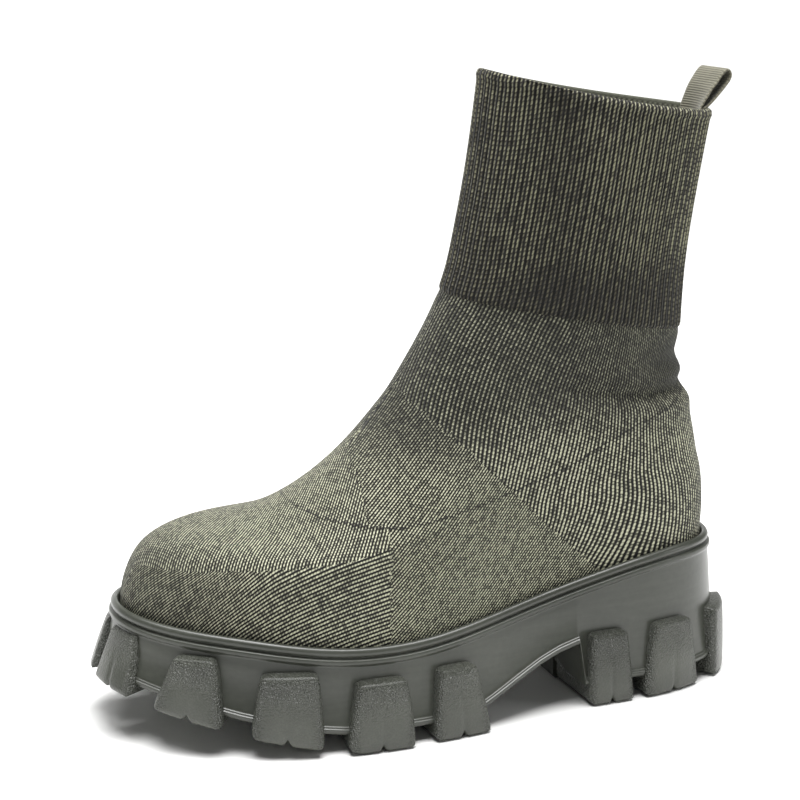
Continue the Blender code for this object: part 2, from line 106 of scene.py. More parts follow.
# x, height of the tread, and x, height of the sole's underside between the lugs
TREAD = (
    (-20.0, 0.0),
    (182.0, 0.0),
    (200.0, 2.8),
    (226.0, 8.0),
    (242.0, 12.2),
    (264.0, 17.6),
    (282.0, 22.0),
)
BREAST_X = 76.4
BREAST_TOP_X = 79.8
BASE = (
    (-20.0, 9.0),
    (BREAST_X, 9.0),
    (BREAST_TOP_X, 28.3),
    (90.0, 25.8),
    (100.0, 22.2),
    (112.0, 16.6),
    (123.0, 11.2),
    (133.0, 6.6),
    (182.0, 6.4),
    (200.0, 8.8),
    (226.0, 14.4),
    (242.0, 18.8),
    (264.0, 25.0),
    (282.0, 30.0),
)
# x, reach of the wall's foot out from the feather line
WALL_FOOT = (
    (5.0, 9.0),
    (60.0, 6.5),
    (100.0, 7.0),
    (160.0, 8.0),
    (230.0, 8.0),
    (267.0, 8.0),
)
LUG_LINE = 11.0
# station, width at the top, width at the foot, lean of the top to the heel, height of the top,
# reach of the face at the top and at the foot, length under the sole
LUGS = (
    (20.5, 28.0, 31.0, 0.0, 32.2, 11.3, 12.3, 20.0),
    (61.5, 21.0, 34.0, -0.8, 33.4, 10.0, 10.0, 28.0),
    (93.3, 18.0, 22.5, -2.1, 32.8, 10.0, 10.0, 33.0),
    (168.5, 17.7, 28.0, -1.7, 30.8, 11.0, 13.0, 43.0),
    (205.3, 22.3, 30.3, 0.9, 29.5, 11.5, 14.0, 46.0),
    (244.5, 25.0, 31.0, 1.0, 34.8, 11.0, 13.5, 41.0),
    (286.0, 18.6, 31.8, 2.2, 40.4, 10.0, 14.0, 30.0),
    (325.8, 23.0, 27.5, 0.0, 44.6, 5.4, 13.8, 20.0),
)
LUG_ROOT = 1.5
LUG_TOP_IN_SOLE = 3.0
SIPE_HALF = 1.7
SIPE_DEPTH = 2.2
PADS = (
    (24.0, 77.0, 10.0),
    (138.0, 236.0, 10.0),
)
# forward of the wall's inside, up from the collar's edge
RIBBON_COURSE = (
    (1.1, -15.0),
    (1.1, -7.0),
    (1.15, -1.0),
    (0.85, 0.8),
    (-0.9, 2.1),
    (-4.5, 7.2),
    (-7.3, 12.3),
    (-8.1, 14.8),
    (-7.3, 16.5),
    (-5.4, 16.5),
    (-2.5, 12.9),
    (-0.4, 9.2),
    (0.9, 5.8),
    (2.1, 2.0),
    (2.7, -3.0),
    (2.7, -15.0),
)
RIBBON_WIDTH = 19.0
RIBBON_THICKNESS = 1.2
RIBBON_TURN = math.radians(-9.0)
RIBBON_FREE = 12.0


def spline(rows, column, x):
    """Natural cubic spline through a table's first column and the given one."""
    xs = np.array([row[0] for row in rows], float)
    ys = np.array([row[column] for row in rows], float)
    h = np.diff(xs)
    count = len(xs)
    matrix = np.eye(count)
    bend = np.zeros(count)
    for i in range(1, count - 1):
        matrix[i, i - 1:i + 2] = h[i - 1], 2.0 * (h[i - 1] + h[i]), h[i]
        bend[i] = 6.0 * ((ys[i + 1] - ys[i]) / h[i] - (ys[i] - ys[i - 1]) / h[i - 1])
    second = np.linalg.solve(matrix, bend)
    x = np.clip(x, xs[0], xs[-1])
    k = np.clip(np.searchsorted(xs, x) - 1, 0, count - 2)
    a = (xs[k + 1] - x) / h[k]
    b = 1.0 - a
    curve = ((a ** 3 - a) * second[k] + (b ** 3 - b) * second[k + 1]) * h[k] ** 2 / 6.0
    return a * ys[k] + b * ys[k + 1] + curve


def straight(rows, column, x):
    return np.interp(x, [row[0] for row in rows], [row[column] for row in rows])


def contour(column, level):
    return spline([(i, row[column]) for i, row in enumerate(CONTOURS)], 1, level)


def middle_line(x):
    s = np.clip((x - SWING_START_X) / (TOE_X - SWING_START_X), 0.0, 1.0)
    return TOE_SWING * s * s * (3.0 - 2.0 * s)


def end_round(x, end, length, power):
    t = np.clip(1.0 - np.abs(end - x) / length, 0.0, 1.0)
    return (1.0 - t ** power) ** (1.0 / power)


def last_reach(x, side):
    return np.where(side > 0, spline(LAST_PLAN, 1, x), spline(LAST_PLAN, 2, x))


def feather_line(angle):
    """Plan of the feather line. Angle 0 is the heel's back and pi the toe's tip."""
    x = HEEL_X + (TOE_X - HEEL_X) * (1.0 - np.cos(angle)) / 2.0
    side = np.where(np.sin(angle) >= 0.0, 1.0, -1.0)
    front_len, front_pow, back_len, back_pow = CONTOURS[0][8:]
    ends = end_round(x, TOE_X, front_len, front_pow) * end_round(x, HEEL_X, back_len, back_pow)
    return x, middle_line(x) + side * ends * last_reach(x, side)


def offset_line(angle, out):
    step = 1e-3
    x, y = feather_line(angle)
    x0, y0 = feather_line(angle - step)
    x1, y1 = feather_line(angle + step)
    run = np.hypot(x1 - x0, y1 - y0)
    return x - out * (y1 - y0) / run, y + out * (x1 - x0) / run


def rim_height(x):
    return spline(RIM_HEIGHT, 1, x)


def rim_dip(x):
    heel, toe = RIM_HEIGHT[0][1], RIM_HEIGHT[-1][1]
    share = np.clip((x - HEEL_X) / (TOE_X - HEEL_X), 0.0, 1.0)
    return rim_height(x) - heel - (toe - heel) * share


def tread_height(x):
    return straight(TREAD, 1, x)


def base_height(x):
    return straight(BASE, 1, x)


def upper_point(level, angle):
    front_x, front_z, back_x, back_z = (contour(i, level) for i in range(4))
    dip, share, full, half = (contour(i, level) for i in range(4, 8))
    front_len, front_pow, back_len, back_pow = (contour(i, level) for i in range(8, 12))
    along = (1.0 - np.cos(angle)) / 2.0
    x = back_x + (front_x - back_x) * along
    side = np.where(np.sin(angle) >= 0.0, 1.0, -1.0)
    ends = end_round(x, front_x, front_len, front_pow) * end_round(x, back_x, back_len, back_pow)
    reach = share * full * last_reach(x, side) + (1.0 - share) * half
    y = share * middle_line(x) + side * ends * reach
    shaft = np.clip((level - RIB_START) / (COLLAR - RIB_START), 0.0, 1.0)
    z = back_z + (front_z - back_z) * along + dip * rim_dip(x)
    z = z - COLLAR_DIP * shaft * np.sin(angle) ** 2
    return np.stack(np.broadcast_arrays(x, y, z), axis=-1)


def upper_skin(level, angle, lift):
    step = 1e-3
    up = upper_point(np.clip(level + step, 0.0, COLLAR), angle)
    up = up - upper_point(np.clip(level - step, 0.0, COLLAR), angle)
    around = upper_point(level, angle + step) - upper_point(level, angle - step)
    normal = np.cross(up, around)
    normal = normal / np.linalg.norm(normal, axis=-1, keepdims=True)
    return upper_point(level, angle) + normal * np.asarray(lift)[..., None]


# The middle of the CAD box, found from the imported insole's lowest corner
RING = np.arange(48) * 2.0 * math.pi / 48.0
RING_X, RING_Y = offset_line(RING, -KNIT_WALL - INSOLE_CLEARANCE)
INSOLE_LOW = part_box("insole")[0]
MIDDLE = np.array([RING_X.min() - INSOLE_LOW[0] / MM, RING_Y.min() - INSOLE_LOW[1] / MM, 0.0])


# Meshes
def smooth_step(x, low, high):
    t = np.clip((x - low) / (high - low), 0.0, 1.0)
    return t * t * (3.0 - 2.0 * t)


def new_piece(name, points, faces, materials, face_material=None, maps=None, sharp=60.0):
    """A piece from points in millimetres, with UV maps given per face corner."""
    mesh = bpy.data.meshes.new(name)
    mesh.from_pydata(((np.asarray(points) - MIDDLE) * MM).tolist(), [], faces)
    for material in materials:
        mesh.materials.append(material)
    if face_material is not None:
        mesh.polygons.foreach_set("material_index", np.asarray(face_material, dtype=np.int32))
    for map_name, corners in (maps or {}).items():
        layer = mesh.uv_layers.new(name=map_name)
        layer.data.foreach_set("uv", np.asarray(corners, dtype=np.float32).ravel())
    mesh.shade_smooth()
    mesh.set_sharp_from_angle(angle=math.radians(sharp))
    mesh.update()
    piece = bpy.data.objects.new(name, mesh)
    bpy.context.collection.objects.link(piece)
    return piece


def grid_faces(rows, columns, closed=True, first=0):
    """Quads of a grid of points, and for each corner its row and its column."""
    faces = []
    corners = []
    for r in range(rows - 1):
        for c in range(columns if closed else columns - 1):
            d = (c + 1) % columns
            low, high = first + r * columns, first + (r + 1) * columns
            faces.append((low + c, low + d, high + d, high + c))
            corners.append(((r, c), (r, c + 1), (r + 1, c + 1), (r + 1, c)))
    return faces, np.array(corners)


def capped_faces(rows, columns):
    """Quads of a closed grid of rings, with both ends filled by quads from side to side."""
    faces, _ = grid_faces(rows, columns)
    for first in (0, (rows - 1) * columns):
        for c in range(columns // 2):
            quad = (c, c + 1, columns - c - 1, (columns - c) % columns)
            faces.append(tuple(dict.fromkeys(first + corner for corner in quad)))
    return faces


def face_out(piece):
    """Turn a closed piece's faces outward."""
    shell = bmesh.new()
    shell.from_mesh(piece.data)
    bmesh.ops.recalc_face_normals(shell, faces=shell.faces)
    shell.to_mesh(piece.data)
    shell.free()


# Materials
class Value:
    """A shader node's output that can be added, taken away and multiplied like a number."""

    def __init__(self, paint, socket):
        self.paint = paint
        self.socket = socket

    def __add__(self, other):
        return self.paint.math("ADD", self, other)

    def __sub__(self, other):
        return self.paint.math("SUBTRACT", self, other)

    def __rsub__(self, other):
        return self.paint.math("SUBTRACT", other, self)

    def __mul__(self, other):
        return self.paint.math("MULTIPLY", self, other)

    def __abs__(self):
        return self.paint.math("ABSOLUTE", self)

    __radd__ = __add__
    __rmul__ = __mul__


class Paint:
    """Short ways to add shader nodes to one material."""

    def __init__(self, name, roughness, sheen=0.0, coat=0.0, coat_roughness=0.3):
        self.material = bpy.data.materials.new(name)
        self.material.use_nodes = True
        self.tree = self.material.node_tree
        self.shader = self.tree.nodes["Principled BSDF"]
        for socket, value in (
            ("Roughness", roughness),
            ("Sheen Weight", sheen),
            ("Sheen Roughness", 0.5),
            ("Coat Weight", coat),
            ("Coat Roughness", coat_roughness),
            ("IOR", 1.45),
        ):
            self.shader.inputs[socket].default_value = value

    def put(self, socket, value):
        if isinstance(value, Value):
            self.tree.links.new(value.socket, socket)
        else:
            socket.default_value = value

    def node(self, kind, output, inputs, **settings):
        """Add a node, give its inputs values or links, and return one of its outputs."""
        node = self.tree.nodes.new("ShaderNode" + kind)
        for key, value in settings.items():
            setattr(node, key, value)
        for key, value in inputs.items():
            self.put(node.inputs[key], value)
        return Value(self, node.outputs[output])

    def math(self, operation, *values):
        return self.node("Math", 0, dict(enumerate(values)), operation=operation)

    def floor(self, value):
        return self.math("FLOOR", value)

    def fract(self, value):
        return self.math("FRACT", value)

    def wave(self, value, pitch):
        """A sine of -1 to 1 that repeats at each pitch."""
        return self.math("SINE", value * (2.0 * math.pi / pitch))

    def step(self, value, low, high):
        """0 below low, 1 above high, smooth between."""
        inputs = {"Value": value, "From Min": low, "From Max": high}
        return self.node("MapRange", 0, inputs, interpolation_type="SMOOTHSTEP")

    def uv(self, name):
        place = self.node("UVMap", 0, {}, uv_map=name)
        return [self.node("SeparateXYZ", part, {0: place}) for part in (0, 1)]

    def place(self, scale=(1.0, 1.0, 1.0)):
        """The piece's own coordinates, stretched where a scale is given."""
        place = self.node("TexCoord", "Object", {})
        return self.node("Mapping", 0, {"Vector": place, "Scale": scale})

    def noise(self, scale, detail, rough=0.5, stretch=(1.0, 1.0, 1.0)):
        inputs = {"Vector": self.place(stretch), "Scale": scale, "Detail": detail, "Roughness": rough}
        return self.node("TexNoise", 0, inputs)

    def cells(self, scale, smooth):
        inputs = {"Vector": self.place(), "Scale": scale, "Smoothness": smooth}
        return self.node("TexVoronoi", "Distance", inputs, feature="SMOOTH_F1")

    def chance(self, x, y):
        """A number from 0 to 1 that is the same all over one stitch."""
        place = self.node("CombineXYZ", 0, {0: x, 1: y})
        return self.node("TexWhiteNoise", 0, {"Vector": place}, noise_dimensions="2D")

    def mix(self, factor, one, two):
        """Between two colours, by the factor."""
        one, two = ((*c, 1.0) if isinstance(c, tuple) else c for c in (one, two))
        return self.node("Mix", 2, {0: factor, 6: one, 7: two}, data_type="RGBA")

    def bump(self, height, distance, strength, normal=None):
        inputs = {"Height": height, "Distance": distance, "Strength": strength}
        if normal is not None:
            inputs["Normal"] = normal
        return self.node("Bump", 0, inputs)

    def finish(self, colour, normal, rough=None):
        """Link the shader's colour, normal and roughness, and return the material."""
        self.put(self.shader.inputs["Base Color"], colour)
        if normal is not None:
            self.put(self.shader.inputs["Normal"], normal)
        if rough is not None:
            self.put(self.shader.inputs["Roughness"], rough)
        return self.material


# The dark colour fills the gaps between stitches, partly the knit's own dark gaps and partly painted
# shade; the light colours on the stitch tops are partly paler fibre and partly painted highlight.
GAP_DARK_AND_SHADE = (0.003, 0.003, 0.002)
YARN = (0.058, 0.058, 0.035)
YARN_PALE_AND_HIGHLIGHT = (0.57, 0.57, 0.41)
# The rib's colours are darker than the plain knit's, partly the browner shaft yarn and partly painted
# shade for the deep ribs' self-shadow.
RIB_YARN_AND_SHADE = (0.034, 0.029, 0.017)
RIB_PALE_AND_PAINTED_LIGHT = (0.285, 0.28, 0.18)
LINING_DARK = (0.018, 0.019, 0.013)
LINING_LIGHT = (0.085, 0.088, 0.060)
FOOTBED_DARK = (0.020, 0.021, 0.016)
FOOTBED_LIGHT = (0.075, 0.078, 0.058)
FOOTBED_PITCH = 0.9
RIBBON_DARK = (0.045, 0.042, 0.026)
RIBBON_LIGHT = (0.215, 0.205, 0.145)
GROSGRAIN_PITCH = 1.05
WARP_PITCH = 0.9
EDGE_KNOT_PITCH = 1.6


def knit_paint(name, yarn, light, chevron, groove_shade):
    """Knit seen close: columns of bright oval stitches with dark gaps between them, the gaps partly
    painted shade and the stitch tops partly painted highlight.

    The map "stitch" counts stitches: whole numbers across are the gaps between two columns,
    and whole numbers up are the gaps between two stitches of one column. Every second column
    is set half a stitch up, and chevron bends each stitch. The map "mark" gives the distance
    from the fashioned line in mm, and the share of the line's strength. The map "tone" gives
    the painted shade on the yarn, at the ankle partly stretched yarn, and counts the ribs, whose
    grooves get painted shade by groove_shade.
    """
    paint = Paint(name, 0.72, sheen=0.05)
    u, v = paint.uv("stitch")
    wander = (paint.noise(60.0, 2.0) - 0.5) * 0.35
    u = u + wander
    column = paint.floor(u)
    centre = abs(u - column - 0.5)
    v = v + paint.fract(column * 0.5) + wander + centre * chevron
    row = paint.floor(v)
    along = abs(v - row - 0.5)
    crest = 1.0 - paint.step(centre, 0.08, 0.44)
    bead = 1.0 - paint.step(along, 0.12, 0.48)
    height = crest * 0.58 + crest * bead * 0.42
    shade_map, rib = paint.uv("tone")
    # Painted shade in the grooves between the ribs
    painted_groove_shade = paint.step(abs(paint.fract(rib) - 0.5), 0.26, 0.46) * groove_shade
    far, strength = paint.uv("mark")
    line = (1.0 - paint.step(abs(far), 0.2, 0.9)) * strength

    # How pale each place is: by the stitch's relief, which darkens the gaps as painted shade and
    # lightens the tops partly as painted highlight, and each stitch by its own luck, with fuzz and
    # wider patches
    shine = 0.62 + paint.chance(column, row) * 0.60
    fuzz = (paint.noise(1100.0, 2.0) - 0.5) * 0.30
    patch = (paint.noise(28.0, 3.0) - 0.5) * 0.20
    tone = height * shine + (fuzz + patch) * crest - line * 0.30
    # Darker where the painted shade map is low, at the ankle partly stretched yarn
    tone = tone * (1.0 - painted_groove_shade) * (0.55 + shade_map * 0.45)
    body = paint.mix(paint.step(tone, 0.14, 0.46), GAP_DARK_AND_SHADE, yarn)
    colour = paint.mix(paint.step(tone, 0.38, 0.86) * shade_map, body, light)
    fibres = paint.bump(paint.noise(1500.0, 2.0), 0.00012, 0.5)
    relief = paint.bump(height - line * 0.4, 0.0008, 1.0, fibres)
    return paint.finish(colour, relief, 0.90 - height * 0.34)


def lining_paint():
    """Inside of the knit: fine plain loops, darker."""
    paint = Paint("knit_inside", 0.9, sheen=0.1)
    u, v = paint.uv("stitch")
    loops = (paint.wave(u, 1.0) * paint.wave(v, 1.0) + 1.0) * 0.5
    tone = loops * 0.7 + paint.noise(700.0, 3.0) * 0.3
    return paint.finish(paint.mix(tone, LINING_DARK, LINING_LIGHT), paint.bump(tone, 0.0003, 0.8))


def footbed_paint():
    """The insole's cover: a fine square weave, a little worn."""
    paint = Paint("footbed", 0.92, sheen=0.15)
    u, v = paint.uv("flat")
    weave = 0.5 + paint.wave(u, FOOTBED_PITCH) * paint.wave(v, FOOTBED_PITCH) * 0.5
    tone = weave * 0.6 + paint.noise(35.0, 3.0) * 0.4
    return paint.finish(paint.mix(tone, FOOTBED_DARK, FOOTBED_LIGHT), paint.bump(weave, 0.0002, 0.7))


def ribbon_paint():
    """Grosgrain: fine raised ribs across the ribbon and a tight cord at both edges."""
    paint = Paint("grosgrain", 0.62, sheen=0.25)
    u, v = paint.uv("ribbon")
    rib = 0.5 + paint.wave(v, GROSGRAIN_PITCH) * 0.5
    warp = 0.5 + paint.wave(u, WARP_PITCH) * 0.5
    knots = 0.6 + paint.wave(v, EDGE_KNOT_PITCH) * 0.4
    edge = paint.step(abs(u), 8.2, 8.9)
    rib = rib * (1.0 - edge) + knots * edge
    tone = rib * 0.5 + warp * 0.2 + paint.noise(400.0, 3.0) * 0.3
    return paint.finish(paint.mix(tone, RIBBON_DARK, RIBBON_LIGHT), paint.bump(tone, 0.00035, 0.9))


# The sole body and the lugs are the same rubber: the sole body's colours are set darker, partly as
# painted shade on the down-facing wall, and the lugs' colours paler as painted light on their faces.
SOLE_BASE = (0.033, 0.036, 0.028)
SOLE_PALE = (0.078, 0.083, 0.068)
LUG_LIT_BASE = (0.042, 0.045, 0.036)
LUG_LIT_PALE = (0.097, 0.103, 0.085)


def sole_paint():
    """Moulded sole: satin greenish grey with faint flow marks and scuffs."""
    paint = Paint("moulded_satin", 0.40, coat=0.30, coat_roughness=0.25)
    fine = paint.noise(420.0, 3.0)
    streak = paint.noise(1.0, 4.0, 0.6, (40.0, 40.0, 420.0))
    tone = paint.noise(16.0, 4.0) * 0.5 + streak * 0.25 + fine * 0.15
    colour = paint.mix(paint.step(tone, 0.25, 0.80), SOLE_BASE, SOLE_PALE)
    skin = paint.bump(fine, 0.00006, 0.5)
    waves = paint.bump(paint.noise(45.0, 2.0), 0.0007, 0.35, skin)
    return paint.finish(colour, waves, 0.28 + tone * 0.16)


def lug_paint():
    """Lug faces: the same rubber, painted paler than the sole body as painted light on the faces, and
    pebbled most at the top and along the sides.
    """
    paint = Paint("lug_pebble", 0.36, coat=0.25, coat_roughness=0.25)
    u, v = paint.uv("face")
    edge = paint.step(abs(u), 0.55, 0.98) * 0.9
    grain = 0.10 + paint.math("MAXIMUM", paint.step(v, 0.30, 0.95), edge) * 0.90
    fine = paint.noise(1500.0, 3.0)
    grit = 0.8 - paint.cells(1200.0, 0.15) + fine * 0.25
    rubbed = paint.noise(30.0, 4.0) * 0.6 + fine * 0.3
    colour = paint.mix(paint.step(rubbed, 0.25, 0.75), LUG_LIT_BASE, LUG_LIT_PALE)
    return paint.finish(colour, paint.bump(grit * grain, 0.0013, 1.0), 0.28 + rubbed * 0.2)


# The knitted sock
RIBS = 76
RIB_COLUMNS = 6
COLUMNS = RIBS * RIB_COLUMNS
FOOT_ROWS = 84
SHAFT_ROWS = 66
RIB_HEIGHT = 1.0
# The rib's share of its height that lies below the CAD skin, and its plump section's power
RIB_SUNK = 0.35
RIB_POWER = 0.8
RIB_WALES = 2
RIB_COURSE = 2.0
# Level at which the ribs are counted out evenly
RIB_COUNT_LEVEL = 13.5
SEAM_DEPTH = 0.35
# Flattened ribs and rise of the collar's rolled edge
EDGE_FLATTEN = 0.45
EDGE_RISE = 0.75
CROWN_HEIGHT = 1.0
CROWN_RIB = 0.3
CROWN_STITCHES = 0.45
# Folds grow in between these two levels above the sole
FOLD_LEVELS = (1.5, 3.0)

# Soft hollows (-) and rolls (+): side, the line's points x, z, half width and height
FOLDS = (
    (1, ((14.0, 147.0), (24.0, 145.0), (40.0, 144.0), (60.0, 146.0)), 6.5, -1.8),
    (1, ((12.0, 134.5), (22.0, 132.5), (32.0, 132.0), (52.0, 133.5), (80.0, 138.0)), 3.6, -2.9),
    (1, ((12.0, 125.5), (24.0, 124.5), (40.0, 124.5), (62.0, 127.0)), 4.5, 1.3),
    (1, ((14.0, 140.5), (26.0, 139.0), (42.0, 138.5), (62.0, 140.5)), 3.6, 1.2),
    (1, ((92.0, 262.0), (90.0, 235.0), (92.0, 205.0), (98.0, 180.0), (100.0, 158.0)), 13.0, -2.2),
    (1, ((70.0, 250.0), (66.0, 225.0), (62.0, 200.0), (58.0, 178.0)), 9.0, 0.8),
    (1, ((128.0, 176.0), (112.0, 168.0), (92.0, 164.0), (70.0, 161.0)), 5.0, -0.7),
    (1, ((150.0, 133.0), (128.0, 128.0), (104.0, 124.0)), 7.0, -0.8),
    (-1, ((14.0, 146.0), (26.0, 143.0), (44.0, 143.0)), 6.0, -1.4),
    (-1, ((14.0, 132.0), (28.0, 131.0), (48.0, 132.5), (70.0, 136.0)), 4.5, -1.7),
    (-1, ((88.0, 258.0), (86.0, 230.0), (90.0, 200.0), (96.0, 172.0)), 12.0, -1.6),
    (-1, ((150.0, 135.0), (126.0, 129.0), (102.0, 127.0)), 7.0, -0.7),
)
# The fashioned line that curves from the ankle's back to the vamp: x and z
FASHION_LINE = (
    (16.0, 131.5),
    (20.5, 129.6),
    (52.8, 119.9),
    (62.9, 115.7),
    (82.3, 105.5),
    (120.4, 95.9),
    (147.1, 90.9),
    (163.0, 88.9),
    (180.4, 90.2),
    (190.6, 91.3),
    (199.0, 93.5),
)
# Where the toe's sweeping rows meet the diagonal rows of the middle foot
MITRE_X = 166.0
# The open columns of the heel and ankle start above this line through x, z
OPEN_KNIT_FOOT = (86.0, 76.0)
OPEN_KNIT_RISE = 0.947
DIAGONAL = math.radians(43.0)
FINE_PITCH = 1.27
OPEN_PITCH = 1.9
OPEN_COURSE = 1.5
OPEN_LEAN = math.tan(math.radians(27.0))
OPEN_LEAN_X = (15.0, 85.0)
OPEN_LEVEL_Z = 100.0
# Added to the run back from the toe so that it meets the length round the toe's front
TOE_TURN = 23.0
TOE_STRETCH = 1.35
# Where the toe's rows pass from the x axis to the length round the toe's front
TOE_FRONT_X = (212.0, 248.0)
# Slope of the toe's rows in degrees, by the run back from the toe's front in mm
ROW_RUN = (0.0, 45.0, 75.0, 130.0, 200.0)
ROW_SLOPE = (52.0, 48.0, 38.0, 8.0, 2.0)
# How far the outer side's rows run on over the instep's ridge, and to which x
RIDGE_BAND = 20.0
RIDGE_END_X = 235.0
# The tops of the toe and instep have rows turned in plan, where they face up at least this far
TOP_FACING = 0.50
RIDGE_FACING = 0.70
TOP_START = 118.0
TOP_TURN = math.radians(142.0)
LINE_STRENGTH = 0.8
# Where the yarn is darker, mostly painted shade and at the ankle partly stretched yarn: the soft
# borders of each place, in mm
ANKLE_Z = (112.0, 140.0, 176.0, 200.0)
INSTEP_X = (96.0, 125.0)
INSTEP_Z = (104.0, 128.0)
TOE_SHADE_X = (222.0, 262.0)
TOE_SHADE_Z = (70.0, 90.0)
BACK_X = (10.0, 22.0)
DENT_X = 86.0
DENT_HALF = 14.0
DENT_Z = (165.0, 190.0)
DENT_Y = (0.0, 12.0)
PINCH_X = (26.0, 52.0)
PINCH_Z = (130.0, 135.0, 148.0, 160.0)
INSIDE_WALES = 1.5
INSIDE_COURSE = 2.4


def line_distance(x, z, line):
    """Distance from a line of x, z points, signed up, and how far along it the nearest place is."""
    best = np.full(x.shape, 1e9)
    sign = np.ones(x.shape)
    share = np.zeros(x.shape)
    count = len(line) - 1
    for i in range(count):
        ax, az = line[i]
        bx, bz = line[i + 1]
        run = np.array([bx - ax, bz - az])
        t = np.clip(((x - ax) * run[0] + (z - az) * run[1]) / (run @ run), 0.0, 1.0)
        dx, dz = x - ax - t * run[0], z - az - t * run[1]
        far = np.hypot(dx, dz)
        near = far < best
        best = np.where(near, far, best)
        sign = np.where(near, np.where(dz >= 0.0, 1.0, -1.0), sign)
        share = np.where(near, (i + t) / count, share)
    return best * sign, share


def fold_lift(points):
    """How far the listed folds move each point out."""
    x, y, z = points[..., 0], points[..., 1], points[..., 2]
    lift = np.zeros(x.shape)
    for side, line, width, height in FOLDS:
        far, share = line_distance(x, z, line)
        fade = smooth_step(share, 0.0, 0.12) * 0.5 + 0.5
        fade = fade * (1.0 - smooth_step(share, 0.55, 1.0))
        # A long hollow is deepest at its middle, all others fade out forward or down
        if height < 0 and len(line) > 4:
            fade = 1.0 - 0.6 * np.abs(2.0 * share - 1.0) ** 2
        facing = smooth_step(side * y, -2.0, 10.0)
        lift += height * fade * facing * np.exp(-(far / width) ** 2)
    return lift


def even_angles():
    """Angles that part the shaft's girth evenly, so that all ribs are alike."""
    angles = np.linspace(0.0, 2.0 * math.pi, 2881)
    ring = upper_point(RIB_COUNT_LEVEL, angles)
    girth = np.concatenate([[0.0], np.cumsum(np.linalg.norm(np.diff(ring, axis=0), axis=1))])
    return np.interp(np.arange(COLUMNS) * girth[-1] / COLUMNS, girth, angles)


def lengths_along(grid, axis):
    steps = np.linalg.norm(np.diff(grid, axis=axis), axis=-1)
    pad = [(1, 0), (0, 0)] if axis == 0 else [(0, 0), (1, 0)]
    return np.cumsum(np.pad(steps, pad), axis=axis)


def heights_at_x(levels, x_grid):
    """Length up the upper's side from the sole, measured in the upright plane across each x."""
    xs = np.linspace(HEEL_X, TOE_X, 700)
    rows = []
    reached = []
    for level in levels:
        front, back = float(contour(0, level)), float(contour(2, level))
        along = np.clip((xs - back) / (front - back), 0.0, 1.0)
        rows.append(upper_point(level, np.arccos(1.0 - 2.0 * along))[:, 1:])
        reached.append((along > 0.0) & (along < 1.0))
    steps = np.linalg.norm(np.diff(np.array(rows), axis=0), axis=-1) * np.array(reached)[:-1]
    table = np.concatenate([np.zeros((1, len(xs))), np.cumsum(steps, axis=0)])
    rise = np.array([np.interp(x, xs, row) for x, row in zip(x_grid, table)])
    return rise, np.interp(x_grid, xs, table[-1])


def between(value, low_start, low_end, high_start, high_end):
    """1 between two soft borders, 0 outside them."""
    return smooth_step(value, low_start, low_end) * (1.0 - smooth_step(value, high_start, high_end))


def yarn_and_painted_shade(x, y, z):
    """How pale the yarn is: darker at the ankle, partly stretched yarn showing its dark core and
    partly painted shade; painted shade on the instep, the toe tip, and in the dent and the pinch
    under the rib; darker at the heel's back.
    """
    ankle = between(z, *ANKLE_Z)
    instep = smooth_step(x, *INSTEP_X) * smooth_step(z, *INSTEP_Z)
    toe = smooth_step(x, *TOE_SHADE_X) * (1.0 - smooth_step(z, *TOE_SHADE_Z))
    back = 1.0 - smooth_step(x, *BACK_X)
    dent = np.exp(-((x - DENT_X) / DENT_HALF) ** 2)
    dent = dent * smooth_step(z, *DENT_Z) * smooth_step(y, *DENT_Y)
    pinch = (1.0 - smooth_step(x, *PINCH_X)) * between(z, *PINCH_Z)
    shade = 1.0 - 0.60 * np.maximum(ankle, 0.9 * instep) - 0.30 * toe - 0.15 * back
    return np.clip(shade - 0.35 * dent - 0.4 * pinch, 0.0, 1.0)


def sock_skins(levels, inner_levels, angles):
    """The outer skin without relief, and rows of points for outside, rolled edge and inside."""
    level_grid, angle_grid = np.meshgrid(levels, angles, indexing="ij")
    base = upper_skin(level_grid, angle_grid, np.zeros_like(level_grid))
    rib = np.abs(np.sin(math.pi * np.arange(COLUMNS) / RIB_COLUMNS)) ** RIB_POWER
    ribbed = smooth_step(levels, RIB_START - 0.01, RIB_START + 0.07)[:, None]
    seam = np.exp(-((levels - RIB_START) / 0.035) ** 2)[:, None]
    lift = fold_lift(base) * smooth_step(levels, *FOLD_LEVELS)[:, None]
    lift = lift + ribbed * RIB_HEIGHT * (rib[None, :] - RIB_SUNK) - SEAM_DEPTH * seam
    edge = smooth_step(levels, COLLAR - 0.10, COLLAR - 0.06)
    edge = (edge * (1.0 - 0.8 * smooth_step(levels, COLLAR - 0.012, COLLAR)))[:, None]
    lift = lift * (1.0 - EDGE_FLATTEN * edge) + EDGE_RISE * edge
    outer = upper_skin(level_grid, angle_grid, lift)
    crown = []
    for turn in (0.25, 0.5, 0.75):
        reach = -KNIT_WALL * (1.0 - math.cos(turn * math.pi)) / 2.0
        ring = upper_skin(COLLAR + 0.0 * angles, angles, reach + CROWN_RIB * rib)
        crown.append(ring + np.array((0.0, 0.0, CROWN_HEIGHT * math.sin(turn * math.pi))))
    inner_grid, inner_angles = np.meshgrid(inner_levels, angles, indexing="ij")
    inner_base = upper_skin(inner_grid, inner_angles, 0.0 * inner_grid)
    inner_fold = fold_lift(inner_base) * smooth_step(inner_levels, *FOLD_LEVELS)[:, None]
    inner = upper_skin(inner_grid, inner_angles, inner_fold - KNIT_WALL)
    return base, outer, np.array(crown), inner


def diagonal_rows(rise, x):
    """Stitch counts of the fine diagonal rows."""
    u = (rise * math.cos(DIAGONAL) + x * math.sin(DIAGONAL)) / FINE_PITCH
    v = (rise * math.sin(DIAGONAL) - x * math.cos(DIAGONAL)) / FINE_PITCH
    return u, v


